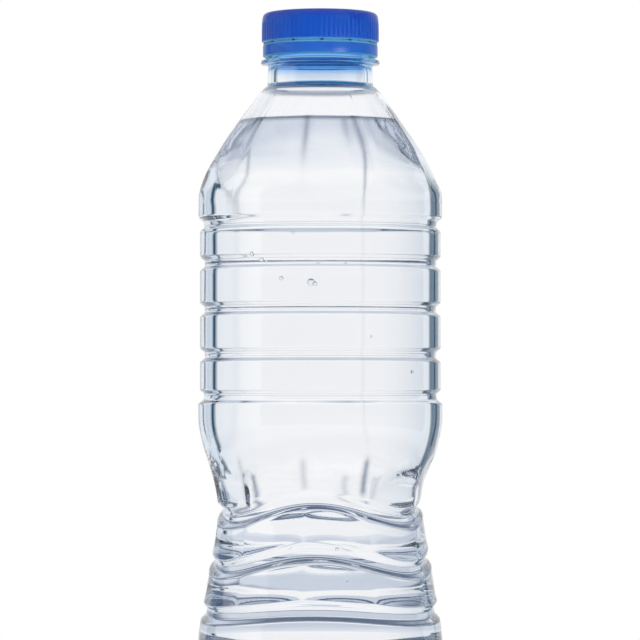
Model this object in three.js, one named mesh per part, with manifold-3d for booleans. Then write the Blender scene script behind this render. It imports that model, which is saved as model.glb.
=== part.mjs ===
// A half-litre water bottle, full and sealed: a blown bottle, a screw cap with its tamper band, and water
// Millimetres, +Z up. The origin is the centre of the standing ring, and the front of the bottle faces -Y.
import * as THREE from "three";
import { mergeVertices } from "three/addons/utils/BufferGeometryUtils.js";
import Module from "manifold-3d";

// Radii of the bottle's outside
const puntRadius = 19.5; // the hollow under the base
const standingRadius = 24; // outer edge of the ring it stands on
const lowerRadius = 31.4;
const waistRadius = 26.4; // between the waves, before the waist groove is cut in
const bulgeRadius = 31.5;
const ringRadius = 31;
const shoulderRadius = 31.4;
const shoulderTop = 14.5; // where the shoulder meets the neck with a sharp corner
const neckRadius = 13.7; // just above that corner; the neck slims a little up to its ring
const neckSlim = 13.4;
const boreRadius = 11.2;

// Heights. All above the heel hangs from the overall height, so a taller bottle is longer below its grip
const overallHeight = 216.8; // with the cap on
const puntRise = 6;
const heelHeight = 16;
const gripDrop = 33.5; // from the waist down to where the wall starts to draw in
const bulgeRise = 23.5; // from the waist up to the bulge
const ringedRise = 57.2; // from the bulge up to the shoulder
const shoulderRise = 27.2;
const shoulderBow = 1.35; // 1 is a straight cone, 2 a round dome
const headspace = 9.7; // from the water up to the neck

// Walls
const bodyWall = 0.35;
const baseWall = 0.7;
const neckWall = 0.8; // at the corner of shoulder and neck
const waterGap = 0.45;

// Grooves round the bottle
const grooveDepth = 1.2;
const grooveHalfWidth = 1.9;
const grooveFlat = 0.35; // share of the half width that is the groove's floor
const ringHeights = [10.7, 11.7, 11.8, 10.1]; // the rings between the upper grooves, from the bottom up
const firstUpperGroove = 4.9; // above the top of the grip
const plainPitch = 12; // between the grooves below the grip, as many as the height has room for
const gripPitch = 13.1; // between the wavy grooves
const waistDepth = 1.6;
const waistHalfWidth = 2.9;
const gripDepth = 1.2;
const gripHalfWidth = 2.5;

// Waves of the grip: the waist groove rises and falls most, and the third wavy groove hardly at all
const waveCount = 3;
const waveTurn = -3; // degrees from the front to a crest
const waistWave = 2.6;
const middleWave = 2.4;
const lowWave = 0.9;

// Flat panels on the shoulder and the grip
const panelCount = 10;
const panelTurn = -8.7; // degrees from the front to an edge between two panels
const shoulderFlat = 0.5; // 0 is round, 1 is fully flat
const waistFlat = 0.6;
const gripFlat = 0.3;
const columnsPerPanel = 3;

// Finish: the injection-moulded top of the neck
const supportRadius = 15.3;
const supportThick = 1.2;
const neckRise = 6.5; // from the shoulder up to the support ring
const boreRise = 4.2; // from the shoulder up to the full thickness of the finish
const boreStart = 0.7; // from the shoulder up to where the wall starts to thicken
const finishRadius = 12.6;
const finishHeight = 10.1; // above the support ring
const beadOut = 1;
const beadThick = 1;
const beadHeight = 2; // above the support ring
const threadOut = 1.05;
const threadPitch = 2.7;
const threadTurns = 1.4;
const threadBase = 1.1;
const threadCrest = 0.5;
const lipRound = 0.5;

// Cap
const capRadius = 15.1;
const capTop = 1.3;
const capEdge = 1;
const sealGap = 0.3; // between the lip and the cap's top panel
const capClearance = 0.3; // round the bottle's thread
const capThreadOut = 0.95;
const capThreadFrom = 0.6; // turns past the start of the bottle's thread, clear of the band
const knurlCount = 72;
const knurlDepth = 0.3;
const bandHeight = 3.6;
const bandInset = 0.3; // the band is this much slimmer than the skirt
const bandLift = 0.3; // above the support ring
const slit = 0.3;
const bridgeCount = 12;
const bridgeWidth = 0.9;
const hookIn = 0.75;
const hookThick = 0.6;
const plugGap = 0.3;
const plugThick = 0.9;
const plugDepth = 2.2;

const wasm = await Module();
wasm.setup();

const degrees = Math.PI / 180;
const columns = panelCount * columnsPerPanel;
const lipHeight = overallHeight - capTop - sealGap;
const finishBottom = lipHeight - finishHeight;
const supportHeight = finishBottom - supportThick;
const neckHeight = supportHeight - neckRise;
const waterHeight = neckHeight - headspace;
const shoulderHeight = neckHeight - shoulderRise;
const gripTop = shoulderHeight - ringedRise;
const waistHeight = gripTop - bulgeRise;
const gripBottom = waistHeight - gripDrop;
const lowestWave = waistHeight - 2 * gripPitch;
const plainGrooves = Math.floor((lowestWave - heelHeight - 2 * grooveHalfWidth) / plainPitch);

const clamp01 = (t) => Math.min(1, Math.max(0, t));
const ease = (t) => clamp01(t) ** 2 * (3 - 2 * clamp01(t));
const mix = (a, b, t) => a + (b - a) * t;

// Every groove as its height, depth and half width
function listGrooves() {
  const grooves = [];
  let height = gripTop + firstUpperGroove;
  for (const ring of [0, ...ringHeights]) {
    height += ring;
    grooves.push({ height, depth: grooveDepth, half: grooveHalfWidth });
  }
  grooves.push({ height: waistHeight, depth: waistDepth, half: waistHalfWidth });
  grooves.push({ height: waistHeight - gripPitch, depth: gripDepth, half: gripHalfWidth });
  grooves.push({ height: lowestWave, depth: gripDepth, half: gripHalfWidth });
  for (let i = 1; i <= plainGrooves; i++) {
    grooves.push({ height: lowestWave - i * plainPitch, depth: grooveDepth, half: grooveHalfWidth });
  }
  return grooves.sort((a, b) => a.height - b.height);
}

const grooves = listGrooves();
const lowestUpper = gripTop + firstUpperGroove;
const topGroove = grooves.at(-1).height;

// The outside radius at a height, before any groove: lower body, grip, bulge, ringed body, shoulder
function smoothRadius(height) {
  if (height < gripBottom) return lowerRadius;
  if (height < waistHeight) {
    const drawn = (height - gripBottom) / (waistHeight - gripBottom);
    return mix(lowerRadius, waistRadius, mix(drawn, ease(drawn), 0.3));
  }
  if (height < gripTop) {
    return mix(waistRadius, bulgeRadius, ease((height - waistHeight) / (gripTop - waistHeight)));
  }
  if (height < shoulderHeight) {
    const intoRings = ease(0.5 + (height - lowestUpper) / (2 * grooveHalfWidth));
    const outOfRings = ease(0.5 + (height - topGroove) / (2 * grooveHalfWidth));
    return mix(mix(bulgeRadius, ringRadius, intoRings), shoulderRadius, outOfRings);
  }
  const left = clamp01((neckHeight - height) / shoulderRise);
  return mix(shoulderTop, shoulderRadius, 1 - (1 - left) ** shoulderBow);
}

function outerRadius(height) {
  let radius = smoothRadius(height);
  for (const groove of grooves) {
    const off = Math.abs(height - groove.height) / groove.half;
    radius -= groove.depth * (1 - ease((off - grooveFlat) / (1 - grooveFlat)));
  }
  return radius;
}

// How far the waves lift a point of the grip, for its height before they do
function waveLift(height, angle) {
  const stops = [
    [lowestWave - plainPitch, 0],
    [lowestWave, lowWave],
    [waistHeight - gripPitch, middleWave],
    [waistHeight, waistWave],
    [mix(waistHeight, gripTop, 0.55), 0],
  ];
  let size = 0;
  for (let i = 1; i < stops.length; i++) {
    const [low, from] = stops[i - 1];
    const [high, to] = stops[i];
    if (height > low && height <= high) size = mix(from, to, ease((height - low) / (high - low)));
  }
  return size * Math.cos(waveCount * (angle - waveTurn * degrees));
}

// How flat the panels are at a height: on the shoulder, above the waist, and on the two bands below it
function flatness(height) {
  const shoulder =
    ease((height - shoulderHeight) / (0.15 * shoulderRise)) *
    ease((neckHeight - height) / (0.4 * shoulderRise));
  const above = ease((height - waistHeight - 1) / 3) * ease((mix(waistHeight, gripTop, 0.6) - height) / 4);
  const band = (low) => ease((height - low) / 2) * ease((low + gripPitch - height) / 2);
  const below = band(waistHeight - gripPitch) + 0.6 * band(lowestWave);
  return shoulderFlat * shoulder + waistFlat * above + gripFlat * below;
}

// A point on the wall: waves lift it, and the panels pull it in between their edges
function wallPoint(radius, height, angle) {
  const panel = (2 * Math.PI) / panelCount;
  const turned = (angle - panelTurn * degrees) / panel;
  const local = (turned - Math.floor(turned) - 0.5) * panel;
  const pulled = 1 - flatness(height) * (1 - Math.cos(panel / 2) / Math.cos(local));
  const r = radius * pulled;
  return [r * Math.sin(angle), -r * Math.cos(angle), height + waveLift(height, angle)];
}

// The outside of the wall as [radius, height], from the middle of the base up to the neck
function outerLine() {
  const line = [];
  const puntSteps = 4;
  for (let i = 0; i < puntSteps; i++) {
    const out = i / puntSteps;
    line.push([puntRadius * out, puntRise * Math.cos((out * Math.PI) / 2)]);
  }
  line.push([puntRadius, 0], [standingRadius, 0]);
  const heelSteps = 4;
  for (let i = 1; i <= heelSteps; i++) {
    const turn = (i / heelSteps) * (Math.PI / 2);
    const out = mix(standingRadius, lowerRadius, Math.sin(turn));
    line.push([out, heelHeight * (1 - Math.cos(turn))]);
  }
  const heights = [];
  for (const { height, half } of grooves) {
    heights.push(height - half, height - half * grooveFlat, height + half * grooveFlat, height + half);
  }
  for (const share of [0.35, 0.5, 0.65, 0.82, 1]) heights.push(mix(waistHeight, gripTop, share));
  for (const share of [0, 0.1, 0.22, 0.36, 0.5, 0.66, 0.83, 1]) {
    heights.push(mix(shoulderHeight, neckHeight, share));
  }
  heights.sort((a, b) => a - b);
  for (const height of heights) {
    if (height - line.at(-1)[1] > 0.2) line.push([outerRadius(height), height]);
  }
  return line;
}

const outside = outerLine();

// The wall's thickness at a point of the outside line
function wallAt([radius, height]) {
  const base = ease((standingRadius - radius) / (0.4 * standingRadius)) * (height < heelHeight ? 1 : 0);
  const neck = ease((height - mix(shoulderHeight, neckHeight, 0.7)) / (0.3 * shoulderRise));
  return bodyWall + (baseWall - bodyWall) * base + (neckWall - bodyWall) * neck;
}

// The outside line moved inwards, square to itself, by the wall and an extra gap
function innerLine(gap) {
  return outside.map((point, i) => {
    const before = outside[Math.max(0, i - 1)];
    const after = outside[Math.min(outside.length - 1, i + 1)];
    let along = [after[0] - before[0], after[1] - before[1]];
    if (i === 0) along = [1, 0];
    const length = Math.hypot(...along);
    const inset = wallAt(point) + gap;
    return [point[0] - (along[1] / length) * inset, point[1] + (along[0] / length) * inset];
  });
}

// A closed surface from rows of points: it starts and ends in a single point on the axis
function closedSurface(line, pointAt) {
  const start = line[0];
  const end = line.at(-1);
  const rows = line.slice(1, -1);
  const points = [0, 0, start[1]];
  for (const [radius, height] of rows) {
    for (let c = 0; c < columns; c++) {
      points.push(...pointAt(radius, height, panelTurn * degrees + (c / columns) * 2 * Math.PI));
    }
  }
  points.push(0, 0, end[1]);
  const last = points.length / 3 - 1;
  const at = (row, c) => 1 + row * columns + (c % columns);
  const index = [];
  for (let c = 0; c < columns; c++) {
    index.push(0, at(0, c + 1), at(0, c));
    index.push(last, at(rows.length - 1, c), at(rows.length - 1, c + 1));
    for (let row = 0; row + 1 < rows.length; row++) {
      const [a, b, d, e] = [at(row, c), at(row, c + 1), at(row + 1, c), at(row + 1, c + 1)];
      index.push(a, b, e, a, e, d);
    }
  }
  const geometry = new THREE.BufferGeometry();
  geometry.setAttribute("position", new THREE.Float32BufferAttribute(points, 3));
  geometry.setIndex(index);
  return geometry;
}

// A geometry as a manifold-3d solid, and back
function solid(geometry) {
  const bare = geometry.clone();
  bare.deleteAttribute("normal");
  bare.deleteAttribute("uv");
  const merged = mergeVertices(bare, 1e-4);
  const vertProperties = new Float32Array(merged.attributes.position.array);
  const triVerts = new Uint32Array(merged.index.array);
  return new wasm.Manifold(new wasm.Mesh({ numProp: 3, vertProperties, triVerts }));
}

function geometryOf(made) {
  const mesh = made.getMesh();
  const geometry = new THREE.BufferGeometry();
  geometry.setAttribute("position", new THREE.BufferAttribute(mesh.vertProperties, 3));
  geometry.setIndex(new THREE.BufferAttribute(mesh.triVerts, 1));
  const flat = geometry.toNonIndexed();
  flat.computeVertexNormals();
  return flat;
}

// A solid of revolution from [radius, height] points that start and end on the axis
function turned(points, segments) {
  const lathe = new THREE.LatheGeometry(
    points.map(([r, z]) => new THREE.Vector2(r, z)),
    segments,
  );
  return solid(lathe.rotateX(Math.PI / 2));
}

// A ring of revolution from [radius, height] points given anticlockwise, closed on itself
function turnedRing(points, segments) {
  return turned([...points, points[0]], segments);
}

// A thread ridge: a trapezium carried up a helix, its height running in and out at the ends
function ridge({ root, out, base, crest, start, from, turns, pitch }) {
  const steps = Math.round(turns * columns);
  const runIn = 0.12 * steps;
  const points = [];
  let corners;
  for (let i = 0; i <= steps; i++) {
    const turn = from + i / columns;
    const angle = turn * 2 * Math.PI;
    const height = start + turn * pitch;
    const full = Math.max(0.15, Math.min(1, i / runIn, (steps - i) / runIn));
    const tip = root + out * full;
    const sunk = root - Math.sign(out) * 0.3;
    const section = [
      [sunk, height - base / 2],
      [tip, height - crest / 2],
      [tip, height + crest / 2],
      [sunk, height + base / 2],
    ];
    for (const [r, z] of section) points.push(r * Math.sin(angle), -r * Math.cos(angle), z);
    corners = section.length;
  }
  const index = [];
  for (let i = 0; i < steps; i++) {
    const [here, ahead] = [corners * i, corners * (i + 1)];
    for (let k = 0; k < corners; k++) {
      const next = (k + 1) % corners;
      index.push(here + k, ahead + k, ahead + next, here + k, ahead + next, here + next);
    }
  }
  const end = corners * steps;
  for (let k = 2; k < corners; k++) index.push(0, k - 1, k, end, end + k, end + k - 1);
  if (out < 0) index.reverse();
  const geometry = new THREE.BufferGeometry();
  geometry.setAttribute("position", new THREE.Float32BufferAttribute(points, 3));
  geometry.setIndex(index);
  return solid(geometry);
}

const threadStart = lipHeight - 1.6 - threadTurns * threadPitch;

function makeBottle() {
  const inside = innerLine(0).reverse();
  const beadBottom = finishBottom + beadHeight;
  const line = [
    ...outside,
    [neckRadius, neckHeight + 0.5],
    [neckSlim, supportHeight - 0.3],
    [supportRadius, supportHeight],
    [supportRadius, finishBottom - 0.5],
    [finishRadius, finishBottom],
    [finishRadius, beadBottom],
    [finishRadius + beadOut, beadBottom + 0.2],
    [finishRadius + 0.25 * beadOut, beadBottom + beadThick],
    [finishRadius, beadBottom + beadThick + 0.1],
    [finishRadius, lipHeight - lipRound],
    [finishRadius - lipRound, lipHeight],
    [boreRadius, lipHeight],
    [boreRadius, neckHeight + boreRise],
    [neckRadius - neckWall, neckHeight + boreStart],
    ...inside,
  ];
  const shell = solid(closedSurface(line, wallPoint));
  const thread = ridge({
    root: finishRadius,
    out: threadOut,
    base: threadBase,
    crest: threadCrest,
    start: threadStart,
    from: 0,
    turns: threadTurns,
    pitch: threadPitch,
  });
  return geometryOf(shell.add(thread));
}

function makeWater() {
  const wall = innerLine(waterGap);
  const surface = wall.findIndex(([, height]) => height > waterHeight);
  const line = wall.slice(0, surface);
  const next = wall[surface];
  const last = line.at(-1);
  const up = (waterHeight - last[1]) / (next[1] - last[1]);
  const edge = mix(last[0], next[0], up);
  line.push([edge, waterHeight], [0, waterHeight]);
  return closedSurface(line, wallPoint);
}

// The skirt's ribbed outline, as a closed shape of alternating crests and roots
function knurledOutline(radius) {
  const shape = new THREE.Shape();
  for (let i = 0; i < 2 * knurlCount; i++) {
    const r = i % 2 ? radius - knurlDepth : radius;
    const angle = (i / (2 * knurlCount)) * 2 * Math.PI;
    const [x, y] = [r * Math.sin(angle), -r * Math.cos(angle)];
    if (i) shape.lineTo(x, y);
    else shape.moveTo(x, y);
  }
  shape.closePath();
  return shape;
}

function makeCap() {
  const innerRadius = finishRadius + threadOut + capClearance;
  const underside = lipHeight + sealGap;
  const top = underside + capTop;
  const bandBottom = finishBottom + bandLift;
  const bandTop = bandBottom + bandHeight;
  const skirtBottom = bandTop + slit;
  const bandRadius = capRadius - bandInset;
  const knurlTop = top - 2 * capEdge;

  const collar = turned(
    [
      [0, skirtBottom],
      [capRadius - knurlDepth, skirtBottom],
      [capRadius - knurlDepth, knurlTop],
      [capRadius - 0.1, knurlTop],
      [capRadius - 0.1, top - capEdge],
      [capRadius - 0.1 - 0.3 * capEdge, top - 0.3 * capEdge],
      [capRadius - 0.1 - capEdge, top],
      [0, top],
    ],
    2 * knurlCount,
  );
  const knurls = new THREE.ExtrudeGeometry(knurledOutline(capRadius), {
    depth: knurlTop + 0.2 - skirtBottom,
    bevelEnabled: false,
  }).translate(0, 0, skirtBottom);
  const hollow = turned(
    [
      [0, skirtBottom - 1],
      [innerRadius, skirtBottom - 1],
      [innerRadius, underside],
      [0, underside],
    ],
    columns,
  );
  const plugRadius = boreRadius - plugGap;
  const plug = turnedRing(
    [
      [plugRadius - plugThick, underside + 0.2],
      [plugRadius - plugThick, underside - plugDepth],
      [plugRadius - 0.5 * plugThick, underside - plugDepth],
      [plugRadius, underside - 0.6 * plugDepth],
      [plugRadius - 0.2, underside + 0.2],
    ],
    columns,
  );
  const thread = ridge({
    root: innerRadius,
    out: -capThreadOut,
    base: threadBase,
    crest: threadCrest,
    start: threadStart - threadPitch / 2,
    from: capThreadFrom,
    turns: threadTurns,
    pitch: threadPitch,
  });
  const hookTop = finishBottom + beadHeight - 0.5;
  const band = turnedRing(
    [
      [innerRadius, bandBottom],
      [bandRadius, bandBottom],
      [bandRadius, bandTop],
      [innerRadius, bandTop],
      [innerRadius, hookTop + 0.3],
      [innerRadius - hookIn, hookTop],
      [innerRadius - hookIn, hookTop - hookThick],
    ],
    2 * columns,
  );
  let cap = collar.add(solid(knurls)).subtract(hollow).add(plug).add(thread).add(band);
  for (let i = 0; i < bridgeCount; i++) {
    const bridge = new THREE.BoxGeometry(bridgeWidth, bandRadius - innerRadius - 0.1, slit + 0.4);
    bridge.translate(0, -(bandRadius + innerRadius) / 2, bandTop + slit / 2);
    bridge.rotateZ((i / bridgeCount) * 2 * Math.PI);
    cap = cap.add(solid(bridge));
  }
  return geometryOf(cap);
}

const clearPlastic = new THREE.MeshStandardMaterial({
  color: "#dfe9f2",
  roughness: 0.08,
  metalness: 0,
  transparent: true,
  opacity: 0.35,
});
const waterLook = new THREE.MeshStandardMaterial({
  color: "#e4eef7",
  roughness: 0.03,
  metalness: 0,
  transparent: true,
  opacity: 0.35,
});
const bluePlastic = new THREE.MeshStandardMaterial({ color: "#1747b5", roughness: 0.35, metalness: 0 });

const bottle = new THREE.Mesh(makeBottle(), clearPlastic);
bottle.name = "bottle";
const water = new THREE.Mesh(makeWater(), waterLook);
water.name = "water";
const cap = new THREE.Mesh(makeCap(), bluePlastic);
cap.name = "screw_cap";

const group = new THREE.Group();
group.add(bottle, water, cap);

export default group;
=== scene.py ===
import math

import bpy
import numpy as np
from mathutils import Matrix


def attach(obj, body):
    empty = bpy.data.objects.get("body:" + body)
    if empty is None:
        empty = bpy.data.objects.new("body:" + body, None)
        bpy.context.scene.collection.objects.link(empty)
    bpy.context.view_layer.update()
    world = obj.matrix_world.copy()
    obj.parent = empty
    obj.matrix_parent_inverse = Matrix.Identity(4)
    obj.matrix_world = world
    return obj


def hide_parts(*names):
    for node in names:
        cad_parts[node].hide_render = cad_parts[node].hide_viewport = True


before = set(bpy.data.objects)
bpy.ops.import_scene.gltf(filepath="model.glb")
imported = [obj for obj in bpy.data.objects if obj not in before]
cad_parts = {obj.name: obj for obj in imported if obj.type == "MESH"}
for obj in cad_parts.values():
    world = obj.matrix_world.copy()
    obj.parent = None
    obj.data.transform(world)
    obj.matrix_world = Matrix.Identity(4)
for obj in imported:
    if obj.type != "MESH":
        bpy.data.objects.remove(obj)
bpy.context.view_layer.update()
mm = 0.001
print("frame loaded")

# Sizes in millimetres, heights above the ring the bottle stands on, angles in degrees from the front.
# A Rise or Fall is a height and its fade. A Span is a lower height and its fade, then an upper one and its
# fade. A Shade is a share of the painted shade tint that darkens the plastic's colour along a line, in
# place of the dark that refraction shows there
bottle = {
    "puntRadius": 19.5,
    "puntRise": 6.0,
    "standingRadius": 24.0,
    "heelHeight": 16.0,
    "lowerRadius": 31.4,
    "gripBottom": 56.0,
    "waistRadius": 26.4,
    "waistHeight": 89.5,
    "gripTop": 113.0,
    "gripEase": 0.3,
    "bulgeRadius": 31.44,
    "ringRadius": 31.0,
    "ringsFrom": 117.9,
    "ringsTo": 162.2,
    "blendLength": 3.8,
    "shoulderRadius": 31.4,
    "shoulderHeight": 170.2,
    "shoulderTop": 14.5,
    "shoulderBow": 1.35,
    "neckHeight": 197.4,
    "bodyWall": 0.35,
    "baseWall": 0.7,
    "baseWallFade": 0.4,
    "neckWall": 0.6,
    "neckWallFrom": 8,
    "panelCount": 10,
    "panelTurn": -8.7,
    "columnsPerPanel": 12,
    "besideEdges": [-1.8, -1.1, -0.5, 0.5, 1.1, 1.8],
    "leastTurn": 0.12,
    "puntRows": 9,
    "standingRows": 4,
    "heelRows": 12,
    "firstRow": 1.8,
    "rowStep": 1.9,
    "leastStep": 0.45,
    "grooveRows": [-1.15, -0.95, -0.75, -0.55, -0.35, -0.15, 0.15, 0.35, 0.55, 0.75, 0.95, 1.15],
    "shoulderFlat": 0.55,
    "shoulderFlatFrom": -1,
    "shoulderFlatFades": (0.2, 0.3),
    "waistFlat": 0.7,
    "waistFlatFrom": 1.2,
    "waistFlatFade": 2.2,
    "archTop": 103.5,
    "archDrop": 5.5,
    "archFade": 2.4,
    "bandFlat": 0.35,
    "upperBandSpan": (78.2, 1.8, 87.8, 1.8),
    "lowerBandSpan": (65.4, 1.8, 74.6, 1.8),
    "lowerBandShare": 0.6,
    "creaseDepth": 0.3,
    "creaseWidth": 0.6,
    "creaseSpan": (176, 8, 194, 5),
    "seamTurn": 20.2,
    "seamBend": 3.9,
    "seamBendRise": (167, 14),
    "seamReturn": 0.3,
    "seamReturnRise": (182, 8),
    "seamLowBend": 0.9,
    "seamLowFall": (112, 8),
    "seamHeight": 0.035,
    "seamWidth": 0.45,
    "seamStep": 0.45,
    "seamColumns": 9,
    "ridgeWidth": 0.28125,
    "ridgeSpan": (92, 3, 194, 4),
    "seamClearance": 9,
    # Painted shade along the creases, the mould seam, the waist and the neck's corner, in place of the dark
    # that refraction shows there
    "creaseShade": 0.8,
    "creaseShadeWidth": 0.95,
    "creaseShadeRise": (173, 11),
    "seamShade": 0.85,
    "seamShadeLow": 0.12,
    "seamShadeFrom": (104, 4),
    "seamShadeRise": (160, 14),
    "seamWiderHigh": 1.1,
    "seamWiderRise": (172, 12),
    "seamWiderLow": 0.9,
    "seamWiderFall": (106, 4),
    "waistShade": 0.6,
    "waistShadeSpan": (91.5, 2.5, 104, 3),
    "cornerShade": 1.0,
    "cornerHeight": 197.4,
    "cornerReach": 0.55,
    "cornerRows": [195.9, 196.5, 196.95, 197.2],
    # Heights over which the neck takes a painted glow of the cap's blue light, and then painted shade under
    # the cap
    "paintedGlowFrom": 199.5,
    "paintedGlowAll": 204.0,
    "shadedFrom": 206.8,
    "shadedAll": 208.0,
    "waveCount": 3,
    "waveTurn": -3.0,
}

# Grooves round the bottle: height, depth, half width, and share of the half width that is its floor
grooves = np.array(
    [
        [27.3, 1.2, 1.9, 0.3],
        [39.3, 1.2, 1.9, 0.3],
        [51.3, 1.2, 1.9, 0.3],
        [63.3, 1.2, 2.5, 0.3],
        [76.4, 1.2, 2.5, 0.3],
        [89.5, 1.6, 2.9, 0.3],
        [117.9, 1.2, 1.9, 0.3],
        [128.6, 1.2, 1.9, 0.3],
        [140.3, 1.2, 1.9, 0.3],
        [152.1, 1.2, 1.9, 0.3],
        [162.2, 1.2, 1.9, 0.3],
    ]
)

# How far the waves lift the wall, as height and size
waveStops = [(51.3, 0.0), (63.3, 0.9), (76.4, 2.4), (89.5, 2.6), (102.4, 0.0)]

waterFill = {
    "height": 187.7,
    "meniscusRise": 1.1,
    "meniscusReach": 1.4,
    "intoWall": 0.05,
    "rows": [187.2, 187.55, 187.9, 188.35, 188.9, 189.3],
    "steps": [0.25, 0.5, 0.8, 1.2, 1.7, 2.4, 3.3, 4.6, 6.5, 9.0, 12.5, 16.5],
    # Painted shade along the water line on the wet inside, in place of the dark band the meniscus shows,
    # and its fade
    "paintedShade": 0.75,
    "shadeFade": 0.4,
}


# Smooth step: 3t^2 - 2t^3 with t held between 0 and 1
def ease(t):
    t = np.clip(t, 0.0, 1.0)
    return t * t * (3.0 - 2.0 * t)


# Eased step up from a height on, and down to a height
def rising(z, start, fade):
    return ease((z - start) / fade)


def falling(z, end, fade):
    return ease((end - z) / fade)


# One inside a span of heights and nought outside it: the product of its two eased ends
def within(z, low, lowFade, high, highFade):
    return rising(z, low, lowFade) * falling(z, high, highFade)


# Bell curve: e to the power of minus t squared
def bell(t):
    return np.exp(-(t**2))


# Straight blend from a to b
def mix(a, b, t):
    return a + (b - a) * t


# Angles of evenly spaced columns all the way round
def fullTurn(columns):
    return np.linspace(0, 2 * math.pi, columns, endpoint=False)


# Points at radius r, height z and angle a from the front: x = r sin a, y = -r cos a
def turnedPoints(r, z, a):
    return np.stack(np.broadcast_arrays(r * np.sin(a), -r * np.cos(a), z), -1)


# Outside radius by height before grooves: lower body, S-curve in to the waist, S-curve out to the bulge,
# ringed body, and a shoulder whose radius is top + (base - top)(1 - (1 - left)^bow)
def smoothRadius(z, s=bottle):
    toWaist = (z - s["gripBottom"]) / (s["waistHeight"] - s["gripBottom"])
    fromWaist = (z - s["waistHeight"]) / (s["gripTop"] - s["waistHeight"])
    inward = mix(np.clip(toWaist, 0, 1), ease(toWaist), s["gripEase"])
    grip = mix(s["lowerRadius"], s["waistRadius"], inward)
    bulge = mix(s["waistRadius"], s["bulgeRadius"], ease(fromWaist))
    body = mix(s["bulgeRadius"], s["ringRadius"], ease(0.5 + (z - s["ringsFrom"]) / s["blendLength"]))
    body = mix(body, s["shoulderRadius"], ease(0.5 + (z - s["ringsTo"]) / s["blendLength"]))
    left = np.clip((s["neckHeight"] - z) / (s["neckHeight"] - s["shoulderHeight"]), 0, 1)
    shoulder = mix(s["shoulderTop"], s["shoulderRadius"], 1 - (1 - left) ** s["shoulderBow"])
    return np.select(
        [z < s["waistHeight"], z < s["gripTop"], z < s["shoulderHeight"]],
        [grip, bulge, body],
        shoulder,
    )


# Outside radius with the grooves: each takes off depth times one minus the eased distance from its floor
def outerRadius(z):
    radius = smoothRadius(z)
    for height, depth, half, floor in grooves:
        off = np.abs(z - height) / half
        radius = radius - depth * (1 - ease((off - floor) / (1 - floor)))
    return radius


# Wave size by height: eased blend between the stops, nought outside them
def waveSize(z):
    size = np.zeros_like(z)
    for (low, start), (high, end) in zip(waveStops, waveStops[1:]):
        here = (z > low) & (z <= high)
        size = np.where(here, mix(start, end, ease((z - low) / (high - low))), size)
    return size


# How flat the panels are, by height and by the place across a panel (-1 to 1): a shoulder field,
# a field above the waist whose upper edge is an arch, and two weaker bands between the wavy grooves
def flatness(z, across, s=bottle):
    low, high = s["shoulderHeight"], s["neckHeight"]
    lowFade, highFade = (share * (high - low) for share in s["shoulderFlatFades"])
    shoulder = within(z, low + s["shoulderFlatFrom"], lowFade, high, highFade)
    arch = s["archTop"] - s["archDrop"] * across**2
    above = within(z, s["waistHeight"] + s["waistFlatFrom"], s["waistFlatFade"], arch, s["archFade"])
    bands = within(z, *s["upperBandSpan"]) + s["lowerBandShare"] * within(z, *s["lowerBandSpan"])
    return s["shoulderFlat"] * shoulder + s["waistFlat"] * above + s["bandFlat"] * bands


# Angle of the mould seam by height: it bends aside over the shoulder, where it comes part of the way back
# at the top, and bends aside below the bulge as well
def seamAngle(z, s=bottle):
    shoulder = rising(z, *s["seamBendRise"]) - s["seamReturn"] * rising(z, *s["seamReturnRise"])
    return s["seamTurn"] + s["seamBend"] * (shoulder + s["seamLowBend"] * falling(z, *s["seamLowFall"]))


# Degrees from the nearer of the two mould seams, by height and angle
def fromSeam(z, angles):
    return np.mod(np.degrees(angles)[None, :] - seamAngle(z)[:, None] + 90, 180) - 90


# Nought on a mould seam and one well clear of it, where a crease may show: 1 - e^(-(off / clearance)^4)
def clearOfSeam(aside, s=bottle):
    return 1 - np.exp(-((aside / s["seamClearance"]) ** 4))


# Angles of the columns: even steps across each panel, finer ones beside the panels' edges, and fine ones
# over each mould seam as far as it bends
def columnAngles(s=bottle):
    count = s["panelCount"] * s["columnsPerPanel"]
    even = s["panelTurn"] + np.arange(count) * (360 / count)
    edges = s["panelTurn"] + np.arange(s["panelCount"]) * 360 / s["panelCount"]
    nearEdges = (edges[:, None] + np.array(s["besideEdges"])).ravel()
    step = s["seamStep"]
    bend = np.linspace(step, s["seamBend"] + 2 * step, s["seamColumns"])
    spread = np.concatenate([[-2 * step, -step, 0], bend])
    seams = (np.array([s["seamTurn"], s["seamTurn"] + 180])[:, None] + spread).ravel()
    angles = np.sort(np.mod(np.concatenate([even, nearEdges, seams]), 360))
    keep = np.concatenate([[True], np.diff(angles) > s["leastTurn"]])
    return np.radians(angles[keep])


# Points of the wall. The panels scale the radius between the circle and a flat chord, the seam adds a
# rounded ridge to it, the creases between panels take a bell curve off it, and the waves lift the height
# by size * cos(count * (a - turn))
def wallPoints(radius, height, angles, ridge=0.0, s=bottle):
    panel = math.radians(360 / s["panelCount"])
    turned = (angles - math.radians(s["panelTurn"])) / panel
    local = (turned - np.floor(turned) - 0.5) * panel
    r = radius[:, None]
    z = height[:, None]
    flat = flatness(z, (local / (panel / 2))[None, :])
    fromEdge = (panel / 2 - np.abs(local))[None, :] * r
    crease = within(z, *s["creaseSpan"]) * s["creaseDepth"]
    r = r * (1 - flat * (1 - math.cos(panel / 2) / np.cos(local))[None, :])
    aside = fromSeam(height, angles)
    r = r + ridge * within(z, *s["ridgeSpan"]) * bell(np.radians(aside) * r / s["ridgeWidth"])
    r = r - crease * clearOfSeam(aside) * bell(fromEdge / s["creaseWidth"])
    waves = np.cos(s["waveCount"] * (angles - math.radians(s["waveTurn"])))
    return turnedPoints(r, z + waveSize(height)[:, None] * waves, angles)
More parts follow.
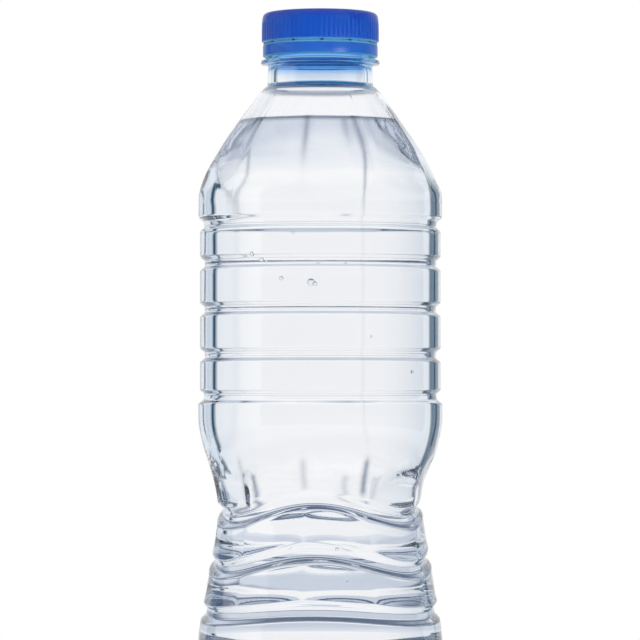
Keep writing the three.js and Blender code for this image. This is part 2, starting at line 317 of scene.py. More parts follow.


# Painted shade, nought to one, that darkens the plastic's colour in place of the dark that refraction
# shows:
# a bell curve across each crease and mould seam, times eased ends by height, and one round the corner of
# the neck. The creases of the shoulder stop at the water line, for only water behind them makes them dark.
# It is the same all the way round
def paintedLineShade(radius, height, angles, s=bottle):
    panel = math.radians(360 / s["panelCount"])
    turned = (angles - math.radians(s["panelTurn"])) / panel
    fromEdge = np.abs(turned - np.round(turned))[None, :] * panel * radius[:, None]
    aside = fromSeam(height, angles)
    crease = s["creaseShade"] * bell(fromEdge / s["creaseShadeWidth"]) * clearOfSeam(aside)
    wider = s["seamWiderHigh"] * rising(height, *s["seamWiderRise"])
    wider = wider + s["seamWiderLow"] * falling(height, *s["seamWiderFall"])
    seam = bell(np.radians(aside) * radius[:, None] / (s["seamWidth"] * (1 + wider))[:, None])
    top = falling(height, waterFill["rows"][-1], waterFill["shadeFade"])
    waist = within(height, *s["waistShadeSpan"])
    creaseEnds = rising(height, *s["creaseShadeRise"]) * top + s["waistShade"] * waist
    strength = mix(s["seamShadeLow"], s["seamShade"], rising(height, *s["seamShadeRise"]))
    seamEnds = rising(height, *s["seamShadeFrom"]) * top * strength + waist
    corner = s["cornerShade"] * bell((height - s["cornerHeight"]) / s["cornerReach"])
    return np.clip(crease * creaseEnds[:, None] + seam * seamEnds[:, None] + corner[:, None], 0, 1)


# Outside line of the bottle: punt as a quarter cosine, flat standing ring, elliptical heel, then the wall
# in even rows, with finer ones at the grooves, the water line and the corner of the neck
def outsideLine(s=bottle):
    out = np.linspace(0, 1, s["puntRows"])
    line = [np.stack([s["puntRadius"] * out, s["puntRise"] * np.cos(out * math.pi / 2)], 1)]
    ring = np.linspace(s["puntRadius"], s["standingRadius"], s["standingRows"])[1:]
    line.append(np.stack([ring, 0 * ring], 1))
    turn = np.linspace(0, math.pi / 2, s["heelRows"])[1:]
    heel = mix(s["standingRadius"], s["lowerRadius"], np.sin(turn))
    line.append(np.stack([heel, s["heelHeight"] * (1 - np.cos(turn))], 1))
    plain = np.arange(s["heelHeight"] + s["firstRow"], s["neckHeight"], s["rowStep"])
    byGrooves = (grooves[:, 0:1] + grooves[:, 2:3] * np.array(s["grooveRows"])).ravel()
    fine = np.concatenate([byGrooves, waterFill["rows"], s["cornerRows"]])
    clear = np.min(np.abs(plain[:, None] - fine[None, :]), axis=1) > s["leastStep"]
    heights = np.sort(np.concatenate([plain[clear], fine, [s["neckHeight"]]]))
    line.append(np.stack([outerRadius(heights), heights], 1))
    return np.concatenate(line)


# Wall thickness along the outside line: body wall, thicker in the base and towards the neck
def wallThickness(line, s=bottle):
    radius, height = line.T
    base = falling(radius, s["standingRadius"], s["baseWallFade"] * s["standingRadius"])
    base = base * (height < s["heelHeight"])
    neckFrom = s["shoulderHeight"] + s["neckWallFrom"]
    neck = rising(height, neckFrom, s["neckHeight"] - neckFrom)
    return s["bodyWall"] + (s["baseWall"] - s["bodyWall"]) * base + (s["neckWall"] - s["bodyWall"]) * neck


# The outside line moved square to itself by an inset
def insetLine(line, inset):
    along = np.gradient(line, axis=0)
    along[0] = [1, 0]
    along[-1] = [0, 1]
    along /= np.linalg.norm(along, axis=1)[:, None]
    return np.stack([line[:, 0] - along[:, 1] * inset, line[:, 1] + along[:, 0] * inset], 1)


# Faces of a grid of rows by columns that closes on itself round the columns, as quads facing outwards
def gridFaces(rows, columns):
    r, c = np.meshgrid(np.arange(rows - 1) * columns, np.arange(columns), indexing="ij")
    after = (c + 1) % columns
    return np.stack([r + c, r + after, r + columns + after, r + columns + c], -1).reshape(-1, 4)


# A closed skin from a block of rows: one point closes each end
def skin(points, lowPoint, highPoint):
    rows, columns = points.shape[:2]
    vertices = np.concatenate([points.reshape(-1, 3), [lowPoint, highPoint]])
    c = np.arange(columns)
    after = (c + 1) % columns
    last = (rows - 1) * columns
    low = np.full(columns, rows * columns)
    lowFan = np.stack([c, low, after], 1)
    highFan = np.stack([last + c, last + after, low + 1], 1)
    return vertices, gridFaces(rows, columns), np.concatenate([lowFan, highFan])


# A mesh object from vertices in millimetres, quads and triangles, with a material number for each face
def makeObject(name, vertices, quads, tris, materials, kinds=None):
    mesh = bpy.data.meshes.new(name)
    corners = np.concatenate([quads.ravel(), tris.ravel()]).astype(np.int32)
    starts = np.concatenate([np.arange(len(quads)) * 4, quads.size + np.arange(len(tris)) * 3])
    mesh.vertices.add(len(vertices))
    mesh.vertices.foreach_set("co", (vertices * mm).astype(np.float32).ravel())
    mesh.loops.add(len(corners))
    mesh.loops.foreach_set("vertex_index", corners)
    mesh.polygons.add(len(starts))
    mesh.polygons.foreach_set("loop_start", starts.astype(np.int32))
    for material in materials:
        mesh.materials.append(material)
    if kinds is not None:
        mesh.polygons.foreach_set("material_index", kinds.astype(np.int32))
    mesh.polygons.foreach_set("use_smooth", np.full(len(starts), True))
    mesh.update(calc_edges=True)
    mesh.validate()
    made = bpy.data.objects.new(name, mesh)
    bpy.context.scene.collection.objects.link(made)
    return made


# One number for each vertex, which the materials read by its name
def addAttribute(piece, name, values):
    attribute = piece.data.attributes.new(name, "FLOAT", "POINT")
    attribute.data.foreach_set("value", values.astype(np.float32))


def newMaterial(name):
    material = bpy.data.materials.new(name)
    material.use_nodes = True
    nodes = material.node_tree.nodes
    return material, nodes, material.node_tree.links, nodes["Principled BSDF"]


# The next six add one node each, or two, link their inputs and return the output. Noise reads the object's
# own coordinates, and each end of a colour mix is a colour or another node's output
def addNoise(nodes, links, scale, detail):
    place = nodes.new("ShaderNodeTexCoord")
    noise = nodes.new("ShaderNodeTexNoise")
    noise.inputs["Scale"].default_value = scale
    noise.inputs["Detail"].default_value = detail
    links.new(place.outputs["Object"], noise.inputs["Vector"])
    return noise.outputs["Fac"]


def addRange(nodes, links, value, given=(0, 1), wanted=(0, 1), kind="LINEAR"):
    carried = nodes.new("ShaderNodeMapRange")
    carried.interpolation_type = kind
    carried.inputs["From Min"].default_value, carried.inputs["From Max"].default_value = given
    carried.inputs["To Min"].default_value, carried.inputs["To Max"].default_value = wanted
    links.new(value, carried.inputs["Value"])
    return carried.outputs["Result"]


def addMath(nodes, links, operation, first, second):
    result = nodes.new("ShaderNodeMath")
    result.operation = operation
    links.new(first, result.inputs[0])
    links.new(second, result.inputs[1])
    return result.outputs["Value"]


def addColourMix(nodes, links, factor, low, high):
    mixed = nodes.new("ShaderNodeMix")
    mixed.data_type = "RGBA"
    for socket, end in ((mixed.inputs[6], low), (mixed.inputs[7], high)):
        if isinstance(end, tuple):
            socket.default_value = end
        else:
            links.new(end, socket)
    links.new(factor, mixed.inputs["Factor"])
    return mixed.outputs[2]


def addRamp(nodes, links, value, marks):
    ramp = nodes.new("ShaderNodeValToRGB")
    stops = ramp.color_ramp.elements
    while len(stops) < len(marks):
        stops.new(0.5)
    for stop, (place, colour) in zip(stops, marks):
        stop.position = place
        stop.color = colour
    links.new(value, ramp.inputs["Fac"])
    return ramp.outputs["Color"]


def addShaderMix(nodes, links, factor, low, high):
    mixed = nodes.new("ShaderNodeMixShader")
    links.new(factor, mixed.inputs["Fac"])
    links.new(low, mixed.inputs[1])
    links.new(high, mixed.inputs[2])
    return mixed.outputs["Shader"]


# The colour with a tint mixed in wherever the piece's attribute of each name is over nought
def tinted(nodes, links, colour, tints):
    for name, tint in tints.items():
        attribute = nodes.new("ShaderNodeAttribute")
        attribute.attribute_name = name
        colour = addColourMix(nodes, links, attribute.outputs["Fac"], colour, tint)
    return colour


# Clear plastic or water: noise over the object's own coordinates varies the tint and the gloss, and a broad
# ripple bends the surface by a few hundredths of a millimetre, as blown plastic does. Plastic is deeper in
# colour where it is seen edge on, partly through more of it and partly as a painted dark outline in place
# of the dark that refraction shows at the edges
def clearMaterial(name, look):
    material, nodes, links, shader = newMaterial(name)
    shader.inputs["Transmission Weight"].default_value = 1.0
    shader.inputs["IOR"].default_value = look["ior"]
    cloud = addNoise(nodes, links, look["cloudScale"], look["cloudDetail"])
    if look["roughLow"] < look["roughHigh"]:
        gloss = addRange(nodes, links, cloud, wanted=(look["roughLow"], look["roughHigh"]))
        links.new(gloss, shader.inputs["Roughness"])
    else:
        shader.inputs["Roughness"].default_value = look["roughLow"]
    if look["rippleStrength"] > 0:
        bump = nodes.new("ShaderNodeBump")
        bump.inputs["Strength"].default_value = look["rippleStrength"]
        bump.inputs["Distance"].default_value = look["rippleHeight"] * mm
        links.new(addNoise(nodes, links, look["rippleScale"], look["rippleDetail"]), bump.inputs["Height"])
        links.new(bump.outputs["Normal"], shader.inputs["Normal"])
    colour = addColourMix(nodes, links, cloud, look["tintLow"], look["tintHigh"])
    colour = tinted(nodes, links, colour, look["attributes"])
    # Deeper colour seen edge on: partly the plastic's own colour over a longer path, partly a painted dark
    # outline in place of the dark refraction gives at the edges
    if look["edgeTint"]:
        grazing = nodes.new("ShaderNodeLayerWeight")
        grazing.inputs["Blend"].default_value = look["edgeBlend"]
        edge = addRange(nodes, links, grazing.outputs["Facing"], look["edgeRange"], kind="SMOOTHSTEP")
        colour = addColourMix(nodes, links, edge, colour, look["edgeTint"])
    links.new(colour, shader.inputs["Base Color"])
    return material


plasticLook = {
    "ior": 1.57,
    "tintLow": (0.965, 0.972, 0.98, 1),
    "tintHigh": (0.985, 0.988, 0.994, 1),
    "edgeBlend": 0.5,
    "edgeRange": (0.8, 0.98),
    "edgeTint": (0.32, 0.47, 0.6, 1),
    # "line" tints the plastic with painted shade along creases, seams, the water line and the neck, and
    # "blue" with a painted glow of the cap's blue light on the neck
    "attributes": {"line": (0.12, 0.16, 0.25, 1), "blue": (0.25, 0.55, 0.92, 1)},
    "cloudScale": 60,
    "cloudDetail": 2.0,
    "roughLow": 0.0,
    "roughHigh": 0.02,
    "rippleScale": 90,
    "rippleDetail": 1.0,
    "rippleStrength": 0.35,
    "rippleHeight": 0.06,
}
wettedLook = {
    **plasticLook,
    "edgeTint": None,
    "ior": 1.18,
    "roughHigh": 0.0,
    "rippleStrength": 0.2,
}
waterLook = {
    **plasticLook,
    "attributes": {},
    "edgeTint": None,
    "ior": 1.333,
    "tintLow": (0.99, 0.992, 0.996, 1),
    "tintHigh": (0.996, 0.998, 1, 1),
    "roughHigh": 0.0,
    "rippleScale": 30,
    "rippleStrength": 0.1,
}
waterSideLook = {**waterLook, "ior": 1.0, "rippleStrength": 0.0}

clear = clearMaterial("clear plastic", plasticLook)
wetted = clearMaterial("clear plastic against water", wettedLook)
waterTop = clearMaterial("water surface", waterLook)
waterSide = clearMaterial("water against the wall", waterSideLook)

# The wall's two lines, as radius and height. The inner one is wet up to where the water touches it, and
# then runs up to the bore of the neck
angles = columnAngles()
outside = outsideLine()
inside = insetLine(outside, wallThickness(outside))
contactHeight = waterFill["height"] + waterFill["meniscusRise"]
above = np.argmax(inside[:, 1] > contactHeight)
contactRadius = np.interp(contactHeight, inside[above - 1 : above + 1, 1], inside[above - 1 : above + 1, 0])
wetLine = np.concatenate([inside[:above], [[contactRadius, contactHeight]]])
boreLine = np.array(
    [
        [14.52, 196.38],
        [14.4, 196.5],
        [13.6, 196.95],
        [12.6, 197.5],
        [11.65, 198.03],
        [11.53, 198.15],
        [11.5, 198.6],
        [11.46, 200.0],
        [11.4, 201.4],
        [11.35, 202.6],
        [11.33, 203.4],
        [11.2, 205.0],
        [11.2, 206.8],
        [11.2, 208.0],
        [11.2, 209.0],
    ]
)
boreGap = 0.15  # the wall's own rows stop this far below the bore
dryLine = inside[above:]
dryLine = np.concatenate([dryLine[dryLine[:, 1] < boreLine[0, 1] - boreGap], boreLine])

# Outside of the neck: support ring, slot for the tamper band, bead, and the lip round to the bore
finishLine = np.array(
    [
        [13.85, 197.5],
        [13.72, 197.6],
        [13.7, 197.85],
        [13.69, 198.2],
        [13.68, 198.6],
        [13.6, 200.0],
        [13.53, 201.4],
        [13.45, 202.7],
        [13.7, 203.25],
        [14.6, 203.4],
        [15.1, 203.45],
        [15.3, 203.65],
        [15.3, 204.3],
        [15.1, 204.5],
        [13.2, 204.7],
        [12.6, 204.9],
        [12.6, 207.1],
        [13.6, 207.3],
        [12.85, 208.1],
        [12.6, 208.2],
        [12.6, 214.7],
        [12.45, 215.05],
        [12.1, 215.2],
        [11.5, 215.2],
        [11.2, 214.9],
    ]
)


# The shell is closed: up the outside, over the lip and down the inside. Its faces below the water line are
# wet. "line" is painted shade, 1 where darkest: along the creases, the mould seams, the neck's corner, the
# water line and the neck under the cap, in place of the dark that refraction and shade give there. "blue"
# is a painted glow of the cap's blue light on the neck
def makeBottle(s=bottle):
    outer = wallPoints(outside[1:, 0], outside[1:, 1], angles, s["seamHeight"])
    finish = wallPoints(finishLine[:, 0], finishLine[:, 1], angles)
    innerLine = np.concatenate([wetLine, dryLine])[1:][::-1]
    inner = wallPoints(innerLine[:, 0], innerLine[:, 1], angles)
    points = np.concatenate([outer, finish, inner])
    vertices, quads, fans = skin(points, [0, 0, outside[0, 1]], [0, 0, inside[0, 1]])
    firstWetRow = len(outer) + len(finish) + len(dryLine)
    quadRow = np.repeat(np.arange(len(points) - 1), len(angles))
    kinds = np.concatenate([quadRow >= firstWetRow, np.zeros(len(angles)), np.ones(len(angles))])
    made = makeObject("bottleShell", vertices, quads, fans, [clear, wetted], kinds)

    line = np.concatenate([outside[1:], finishLine, innerLine])
    paintedShade = paintedLineShade(line[:, 0], line[:, 1], angles)
    onInner = paintedShade[-len(inner) :]
    onInner[innerLine[:, 1] < s["cornerRows"][0]] = 0
    # Painted shade in a band along the water line on the wet inside, in place of the dark band the meniscus
    # shows
    fade = waterFill["shadeFade"]
    waterLineShade = rising(innerLine[:, 1], waterFill["height"] - fade / 2, fade)
    waterLineShade = waterLineShade * (innerLine[:, 1] <= contactHeight)
    onInner += waterFill["paintedShade"] * waterLineShade[:, None]
    # Painted shade on the neck under the cap, where it lies in the cap's shade
    underCapShade = rising(line[:, 1], s["shadedFrom"], s["shadedAll"] - s["shadedFrom"])
    paintedShade = np.maximum(paintedShade, underCapShade[:, None])
    # Painted glow of the cap's blue light on the neck below it
    blue = np.repeat(rising(line[:, 1], s["paintedGlowFrom"], s["paintedGlowAll"] - s["paintedGlowFrom"]), len(angles))
    addAttribute(made, "line", np.concatenate([paintedShade.ravel(), [0, 0]]))
    addAttribute(made, "blue", np.concatenate([blue, [0, 0]]))
    return made


# The water: the wet inside of the wall, closed by a level top that climbs the wall as rise * e^(-d / reach)
def makeWater(s=waterFill):
    side = insetLine(wetLine, -s["intoWall"])
    side[0] = wetLine[0]
    away = np.array(s["steps"])
    topHeight = s["height"] + s["meniscusRise"] * np.exp(-away / s["meniscusReach"])
    sidePoints = wallPoints(side[1:, 0], side[1:, 1], angles)
    topPoints = wallPoints(contactRadius - away, topHeight, angles)
    points = np.concatenate([sidePoints, topPoints])
    vertices, quads, fans = skin(points, [0, 0, side[0, 1]], [0, 0, s["height"]])
    quadRow = np.repeat(np.arange(len(points) - 1), len(angles))
    kinds = np.concatenate([quadRow < len(sidePoints) - 1, np.ones(len(angles)), np.zeros(len(angles))])
    return makeObject("waterFill", vertices, quads, fans, [waterTop, waterSide], kinds)


bottleShell = makeBottle()
print("bottle", len(bottleShell.data.polygons))
waterPiece = makeWater()
print("water", len(waterPiece.data.polygons))

# Air bubbles on the inside of the wall: each place is a turn, a height and a radius
bubbles = {
    "rings": 7,
    "columns": 12,
    "depth": 0.55,
    "places": [
        (-35, 154.0, 0.5),
        (-31, 152.6, 0.65),
        (-28, 151.8, 0.4),
        (-19, 147.6, 0.55),
        (-4.5, 146.6, 0.95),
        (-2.6, 146.2, 0.6),
        (-1, 151.0, 0.45),
        (12.6, 151.0, 0.45),
        (50, 124.2, 0.45),
        (9, 79.9, 0.5),
        (14, 71.6, 0.35),
        (-13, 159.0, 0.35),
        (25, 133.0, 0.3),
    ],
}


# Each bubble is a sphere of rings and columns, moved to its place and multiplied by its radius
def makeBubbles(s=bubbles):
    turns, heights, radii = np.array(s["places"]).T
    lie = outerRadius(heights) - bottle["bodyWall"] - radii - s["depth"]
    centres = turnedPoints(lie, heights, np.radians(turns))
    polar = np.linspace(0, math.pi, s["rings"] + 2)[1:-1, None]
    ball = turnedPoints(np.sin(polar), -np.cos(polar), fullTurn(s["columns"]))
    vertices, quads, fans = skin(ball, [0, 0, -1], [0, 0, 1])
    starts = len(vertices) * np.arange(len(radii))[:, None, None]
    placed = vertices * radii[:, None, None] + centres[:, None]
    quads, fans = (quads + starts).reshape(-1, 4), (fans + starts).reshape(-1, 3)
    return makeObject("airBubbles", placed.reshape(-1, 3), quads, fans, [waterTop])


bubblePiece = makeBubbles()
print("bubbles", len(bubblePiece.data.polygons))

# Sizes in millimetres. A Share is how far the colour goes over to the painted glow of the cut edges and
# inside, or to the painted shade of the top edge, there
cap = {
    "radius": 15.1,
    "bottom": 208.95,
    "top": 216.8,
    "inner": 13.95,
    "underside": 215.5,
    "ribs": 72,
    "columnsPerRib": 10,
    "ribDepth": 0.16,
    "ribSide": 0.5,
    "ribPower": 0.7,
    "ribRise": (0.2, 0.4),  # above the foot
    "ribTop": 214.2,
    "ribFall": (0.7, 1.1),  # above the ribs' top
    "bandBottom": 205.4,
    "bandTop": 208.8,
    "bandRadius": 14.8,
    "bandColumns": 180,
    "plugRadius": 10.9,
    "bridges": 12,
    "bridgeTurn": 1.7,
    "bridgeHalfWidth": 0.4,
    "bridgeInset": 0.35,
    "bridgeSunk": 0.15,
    # Shares of painted glow on the skirt's foot, the cap's inside and the band, in place of light through
    # the thin plastic, with painted highlights on the band's edges
    "footGlowShare": 0.6,
    "footPart": (0.4, 0.3),  # how far above the foot it goes, and how far inside the radius it begins
    "insideGlowShare": 0.9,
    "insidePart": (0.1, 0.6),  # the same, above the underside
    "bandGlowShare": [1, 1, 0.8, 0.5, 0.1, 0.1, 0.8, 1, 1, 1, 1, 1],
    # Share of painted shade on the top edge, in place of the dark it reflects from above, and its fade
    "topShadeShare": 0.75,
    "topShadeFade": 1.6,
}


# The skirt is a turned line from the middle of the top, down inside, and back up the ribbed side. The ribs
# take depth * (1 - |cos(ribs * a / 2)|^power) off the radius between the foot and the top round. The tamper
# band is a turned ring, and small boxes bridge the slit between the two
def makeCap(s=cap):
    around = fullTurn(s["ribs"] * s["columnsPerRib"])
    r, top, foot = s["radius"], s["top"], s["bottom"]
    line = np.array(
        [
            [s["plugRadius"] - 2, s["underside"]],
            [s["plugRadius"] - 1.0, s["underside"] - 0.1],
            [s["plugRadius"] - 0.9, s["underside"] - 1.8],
            [s["plugRadius"] - 0.6, s["underside"] - 2.2],
            [s["plugRadius"] - 0.3, s["underside"] - 2.0],
            [s["plugRadius"], s["underside"] - 1.3],
            [s["plugRadius"] - 0.2, s["underside"]],
            [s["inner"] - 0.6, s["underside"]],
            [s["inner"], s["underside"] - 0.6],
            [s["inner"], foot + 0.1],
            [s["inner"] + 0.1, foot],
            [r - 0.55, foot],
            [r - 0.4, foot + 0.08],
            [r - 0.36, foot + 0.25],
            [r - 0.02, foot + 0.5],
            [r, foot + 0.7],
            [r, foot + 1.6],
            [r, foot + 2.7],
            [r - 0.02, s["ribTop"] - 0.9],
            [r - 0.05, s["ribTop"] - 0.4],
            [r - 0.08, s["ribTop"]],
            [r - 0.1, s["ribTop"] + 0.4],
            [r - 0.14, s["ribTop"] + 0.8],
            [r - 0.2, top - 1.3],
            [r - 0.32, top - 0.85],
            [r - 0.54, top - 0.48],
            [r - 0.86, top - 0.2],
            [r - 1.3, top - 0.05],
            [r - 1.9, top],
            [r - 5, top],
            [r - 9, top],
        ]
    )
    radius, height = line.T
    (ribFoot, footFade), (ribEnd, endFade) = s["ribRise"], s["ribFall"]
    ribbed = within(height, foot + ribFoot, footFade, s["ribTop"] + ribEnd, endFade)
    ribbed = ribbed * (radius > r - s["ribSide"])
    groove = s["ribDepth"] * (1 - np.abs(np.cos(s["ribs"] * around / 2)) ** s["ribPower"])
    points = turnedPoints(radius[:, None] - ribbed[:, None] * groove, height[:, None], around)
    skirt, skirtQuads, skirtFans = skin(points, [0, 0, s["underside"]], [0, 0, top])

    b, low, high = s["bandRadius"], s["bandBottom"], s["bandTop"]
    section = np.array(
        [
            [s["inner"], low + 0.15],
            [s["inner"] + 0.15, low],
            [b - 0.25, low],
            [b - 0.06, low + 0.1],
            [b, low + 0.35],
            [b, high - 0.6],
            [b - 0.08, high - 0.35],
            [b - 0.4, high],
            [s["inner"] + 0.1, high],
            [s["inner"], high - 0.15],
            [s["inner"] - 0.7, low + 1.2],
            [s["inner"] - 0.7, low + 0.8],
        ]
    )
    band = turnedPoints(section[:, :1], section[:, 1:], fullTurn(s["bandColumns"])).reshape(-1, 3)
    bandQuads = gridFaces(len(section) + 1, s["bandColumns"]) % len(band)

    ends = (high - s["bridgeSunk"], foot + s["bridgeSunk"])
    corners = np.array([[x, y, z] for z in ends for x, y in ((-1, -1), (1, -1), (1, 1), (-1, 1))])
    boxSides = [[0, 1, 5, 4], [1, 2, 6, 5], [2, 3, 7, 6], [3, 0, 4, 7]]
    boxFaces = np.array([[3, 2, 1, 0], [4, 5, 6, 7], *boxSides])
    number = np.arange(s["bridges"])
    turns = (2 * math.pi * number / s["bridges"] + math.radians(s["bridgeTurn"]))[:, None]
    side = corners[:, 0] * s["bridgeHalfWidth"]
    out = (b + s["inner"]) / 2 - corners[:, 1] * (b - s["inner"] - s["bridgeInset"]) / 2
    boxX = out * np.sin(turns) + side * np.cos(turns)
    boxY = -out * np.cos(turns) + side * np.sin(turns)
    boxes = np.stack([boxX, boxY, corners[:, 2] + 0 * turns], -1).reshape(-1, 3)
    boxQuads = (boxFaces + 8 * number[:, None, None]).reshape(-1, 4)

    # Painted light: the foot, the inside and the band take a lighter painted glow for light through the
    # thin plastic, with painted highlights on the band's edges, and the top edge takes a painted shade for
    # the dark it reflects from above
    (footRise, footIn), (insideRise, insideIn) = s["footPart"], s["insidePart"]
    footPart = (height < foot + footRise) * (radius < r - footIn)
    insidePart = (height < s["underside"] + insideRise) * (radius < r - insideIn)
    edgeGlowShare = np.maximum(s["footGlowShare"] * footPart, s["insideGlowShare"] * insidePart)
    topShadeShare = s["topShadeShare"] * rising(height, s["ribTop"], s["topShadeFade"])
    bandGlowShare = np.repeat(s["bandGlowShare"], s["bandColumns"])
    onBoxes = np.zeros(len(boxes))
    shares = {
        "paintedTopShade": [np.repeat(topShadeShare, len(around)), [0, s["topShadeShare"]], 0 * bandGlowShare, onBoxes],
        "paintedEdgeGlow": [np.repeat(edgeGlowShare, len(around)), [0, 0], bandGlowShare, onBoxes],
    }
    vertices = np.concatenate([skirt, band, boxes])
    quads = np.concatenate([skirtQuads, bandQuads + len(skirt), boxQuads + len(skirt) + len(band)])
    made = makeObject("capShell", vertices, quads, skirtFans, [bluePlastic()])
    for name, parts in shares.items():
        addAttribute(made, name, np.concatenate(parts))
    return made


# Blue plastic: noise varies the colour a little and the gloss more, and light goes some way into it. Its
# top edge has painted shade, in place of the dark it reflects from above, and its cut edges, band edges and
# inside have a lighter painted glow, in place of light coming through the thin plastic, with painted
# highlights on the band's edges
capLook = {
    "deep": (0.004, 0.054, 0.38, 1),
    "light": (0.006, 0.074, 0.48, 1),
    "attributes": {"paintedTopShade": (0.022, 0.045, 0.28, 1), "paintedEdgeGlow": (0.14, 0.46, 0.95, 1)},
    "rough": (0.24, 0.34),
    "cloudScale": 90,
    "cloudDetail": 1,
    "fixed": {
        "IOR": 1.5,
        "Specular IOR Level": 0.22,
        "Subsurface Weight": 1.0,
        "Subsurface Radius": (0.15, 0.8, 1.0),
        "Subsurface Scale": 0.008,
    },
}


def bluePlastic(look=capLook):
    material, nodes, links, shader = newMaterial("blue plastic")
    for name, value in look["fixed"].items():
        shader.inputs[name].default_value = value
    cloud = addNoise(nodes, links, look["cloudScale"], look["cloudDetail"])
    colour = addColourMix(nodes, links, cloud, look["deep"], look["light"])
    links.new(tinted(nodes, links, colour, look["attributes"]), shader.inputs["Base Color"])
    links.new(addRange(nodes, links, cloud, wanted=look["rough"]), shader.inputs["Roughness"])
    return material


capPiece = makeCap()
print("cap", len(capPiece.data.polygons))

for piece, node, slot in (
    (bottleShell, "bottle", "clear_plastic"),
    (waterPiece, "water", "water"),
    (capPiece, "screw_cap", "blue_plastic"),
):
    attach(piece, "root")
    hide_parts(node)
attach(bubblePiece, "root")

# White behind for the camera, and darker cards to the sides that gloss and clear plastic see. The table's
# tones lie in rings round its middle, by distance in metres, and are for gloss and clear plastic too
studio = {
    "floorRadius": 0.55,
    "floorInner": 0.02,
    "dark": (0.02, 0.075, 0.13, 1),
    "light": (1.0, 1.0, 1.0, 1),
    "pale": (0.86, 0.9, 0.94, 1),
    "half": (0.82, 0.91, 1.0, 1),
    "front": (0.12, 0.17, 0.26, 1),
    "underneath": (0.06, 0.1, 0.175, 1),
    "far": (0.65, 0.7, 0.79, 1),
    "near": (0.58, 0.65, 0.77, 1),
    "below": (0.84, 0.875, 0.925, 1),
    "tableMiddle": (0.05, 0.0, 0.0),
    "table": [
        (0.1, "near"),
        (0.15, "underneath"),
        (0.25, "underneath"),
        (0.32, "far"),
        (0.45, "far"),
        (0.54, "below"),
    ],
    "floorColumns": 96,
    "floorRows": 24,
    "floorLook": {"Base Color": (0.92, 0.92, 0.93, 1), "Roughness": 0.7, "Specular IOR Level": 0.2},
    "whiteFrom": (0.06, 0.3),  # metres out over which the floor turns from a share of white to all white
    "whiteShares": (0.35, 1),
    "diffuse": 0.5,
    "cardsFrom": (-18, -9),  # degrees up over which the cards begin, and over which they end
    "cardsTo": (46, 30),
    # Each card's beginning, in degrees to the right from straight behind, its tone, and half the width of
    # the soft edge before it
    "cards": [
        (-180, "front", 0.6),
        (-122, "light", 0.6),
        (-60, "dark", 0.6),
        (-42, "pale", 0.6),
        (-24, "light", 8),
        (24, "pale", 8),
        (36.5, "dark", 0.6),
        (40.5, "half", 0.6),
        (64, "dark", 0.6),
        (98, "front", 0.6),
    ],
}


# The world by kind of ray: white for the camera, a plain grey level for diffuse light, and for gloss and
# clear plastic the cards by direction, with white above them and the floor's tone below
def makeWorld(s=studio):
    world = bpy.data.worlds.new("studio")
    bpy.context.scene.world = world
    world.use_nodes = True
    nodes, links = world.node_tree.nodes, world.node_tree.links
    nodes.clear()
    place = nodes.new("ShaderNodeTexCoord")
    parts = nodes.new("ShaderNodeSeparateXYZ")
    links.new(place.outputs["Generated"], parts.inputs["Vector"])
    turn = addMath(nodes, links, "ARCTAN2", parts.outputs["X"], parts.outputs["Y"])
    marks = [(-180, s["cards"][0][1])]
    for (angle, kind, soft), (_, previous, _) in zip(s["cards"][1:], s["cards"]):
        marks += [(angle - soft, previous), (angle + soft, kind)]
    marks.append((180, s["cards"][-1][1]))
    marks = [((angle + 180) / 360, s[kind]) for angle, kind in marks]
    cardTone = addRamp(nodes, links, addRange(nodes, links, turn, (-math.pi, math.pi)), marks)
    begins = addRange(nodes, links, parts.outputs["Z"], np.sin(np.radians(s["cardsFrom"])))
    ends = addRange(nodes, links, parts.outputs["Z"], np.sin(np.radians(s["cardsTo"])))
    tone = addColourMix(nodes, links, begins, s["below"], cardTone)
    tone = addColourMix(nodes, links, ends, s["light"], tone)
    rays = nodes.new("ShaderNodeLightPath").outputs
    sharp = addMath(nodes, links, "MAXIMUM", rays["Is Glossy Ray"], rays["Is Transmission Ray"])
    cards, plain, white = (nodes.new("ShaderNodeBackground") for _ in range(3))
    links.new(tone, cards.inputs["Color"])
    plain.inputs["Color"].default_value = s["light"]
    plain.inputs["Strength"].default_value = s["diffuse"]
    white.inputs["Color"].default_value = s["light"]
    lit = addShaderMix(nodes, links, sharp, plain.outputs[0], cards.outputs[0])
    seen = addShaderMix(nodes, links, rays["Is Camera Ray"], lit, white.outputs[0])
    links.new(seen, nodes.new("ShaderNodeOutputWorld").inputs["Surface"])


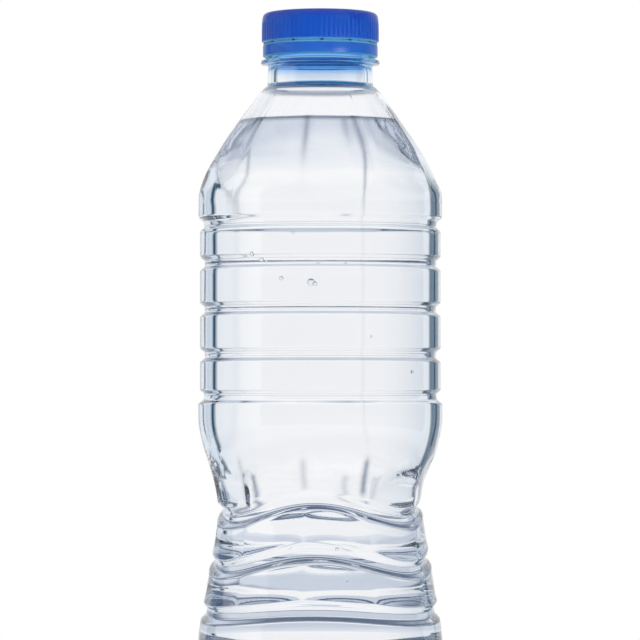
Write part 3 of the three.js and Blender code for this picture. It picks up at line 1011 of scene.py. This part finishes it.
# The floor is a round sheet. For the camera it is lit near the object, so that it takes the shadow, and
# turns into plain white further out. Gloss and clear plastic see the table's tones in place of it
def makeFloor(s=studio):
    reach = np.linspace(s["floorInner"], 1, s["floorRows"])[:, None] * s["floorRadius"] / mm
    points = turnedPoints(reach, 0 * reach, fullTurn(s["floorColumns"]))[::-1]
    rows, columns = points.shape[:2]
    vertices = np.concatenate([points.reshape(-1, 3), [[0, 0, 0]]])
    c = np.arange(columns)
    last = (rows - 1) * columns
    fans = np.stack([last + c, last + (c + 1) % columns, 0 * c + rows * columns], 1)
    material, nodes, links, shader = newMaterial("floor")
    for name, value in s["floorLook"].items():
        shader.inputs[name].default_value = value
    place = nodes.new("ShaderNodeTexCoord")
    length = nodes.new("ShaderNodeVectorMath")
    length.operation = "LENGTH"
    links.new(place.outputs["Object"], length.inputs[0])
    length = length.outputs["Value"]
    away = addRange(nodes, links, length, s["whiteFrom"], s["whiteShares"], "SMOOTHSTEP")
    aside = nodes.new("ShaderNodeVectorMath")
    aside.operation = "DISTANCE"
    aside.inputs[1].default_value = s["tableMiddle"]
    links.new(place.outputs["Object"], aside.inputs[0])
    table = addRamp(nodes, links, aside.outputs["Value"], [(far, s[kind]) for far, kind in s["table"]])
    rays = nodes.new("ShaderNodeLightPath").outputs
    sharp = addMath(nodes, links, "MAXIMUM", rays["Is Glossy Ray"], rays["Is Transmission Ray"])
    whiter = addMath(nodes, links, "MULTIPLY", away, rays["Is Camera Ray"])
    glow = nodes.new("ShaderNodeEmission")
    links.new(addColourMix(nodes, links, sharp, s["light"], table), glow.inputs["Color"])
    share = addMath(nodes, links, "MAXIMUM", whiter, sharp)
    blend = addShaderMix(nodes, links, share, shader.outputs["BSDF"], glow.outputs["Emission"])
    links.new(blend, nodes["Material Output"].inputs["Surface"])
    floor = makeObject("floor", vertices, gridFaces(rows, columns), fans, [material])
    floor.visible_shadow = False


# Name, place, what it looks at, width, height and power. All but the overhead light only the cap, and only
# the strip shows in its gloss
lamps = [
    ("strip", (0.68, -0.78, 0.11), (0, 0, 0.212), 0.26, 0.2, 3.4),
    ("front", (-0.05, -1.0, 0.1), (0, 0, 0.212), 0.6, 0.2, 7.5),
    ("behind", (0.0, 1.0, 0.1), (0, 0, 0.212), 0.6, 0.2, 5.0),
    ("overhead", (-0.3, -0.4, 1.2), (0, 0, 0.1), 0.8, 0.8, 1.5),
]


# A soft lamp that looks at a point on the object
def makeLamp(name, place, target, width, height, power):
    data = bpy.data.lights.new(name, "AREA")
    data.shape = "RECTANGLE"
    data.size, data.size_y = width, height
    data.energy = power
    lamp = bpy.data.objects.new(name, data)
    bpy.context.scene.collection.objects.link(lamp)
    x, y, z = np.array(place) - np.array(target)
    lamp.location = place
    lamp.rotation_euler = (math.atan2(math.hypot(x, y), z), 0, math.atan2(x, -y))
    lamp.visible_transmission = False
    return lamp


makeWorld()
makeFloor()
capOnly = bpy.data.collections.new("cap only")
capOnly.objects.link(capPiece)
for lampSettings in lamps:
    lamp = makeLamp(*lampSettings)
    lamp.visible_glossy = lamp.name == "strip"
    if lamp.name != "overhead":
        lamp.light_linking.receiver_collection = capOnly

# Where the camera stands, the height at the middle of the picture, the pixel the axis is at, and the
# millimetres to a pixel there
shot = {
    "distance": 1000.0,
    "eye": 118.5,
    "middle": 137.7,
    "axisPixel": 320.3,
    "scale": 0.2575,
    "pixels": 640,
    "sensor": 36,
    "clip": (0.01, 50),
}


def makeCamera(s=shot):
    data = bpy.data.cameras.new("camera")
    rise = math.atan2(s["middle"] - s["eye"], s["distance"])
    reach = s["distance"] / math.cos(rise)
    data.sensor_width = s["sensor"]
    data.lens = s["sensor"] * reach / (s["pixels"] * s["scale"])
    data.clip_start, data.clip_end = s["clip"]
    camera = bpy.data.objects.new("camera", data)
    bpy.context.scene.collection.objects.link(camera)
    side = -(s["axisPixel"] - s["pixels"] / 2) * s["scale"]
    camera.location = (side * mm, -s["distance"] * mm, s["eye"] * mm)
    camera.rotation_euler = (math.pi / 2 + rise, 0, 0)
    bpy.context.scene.camera = camera


makeCamera()
bpy.context.scene.view_settings.view_transform = "Standard"
bounces = 48  # light crosses many faces in the full bottle
for kind in ("max_bounces", "transmission_bounces", "glossy_bounces"):
    setattr(bpy.context.scene.cycles, kind, bounces)
print("studio and camera made")
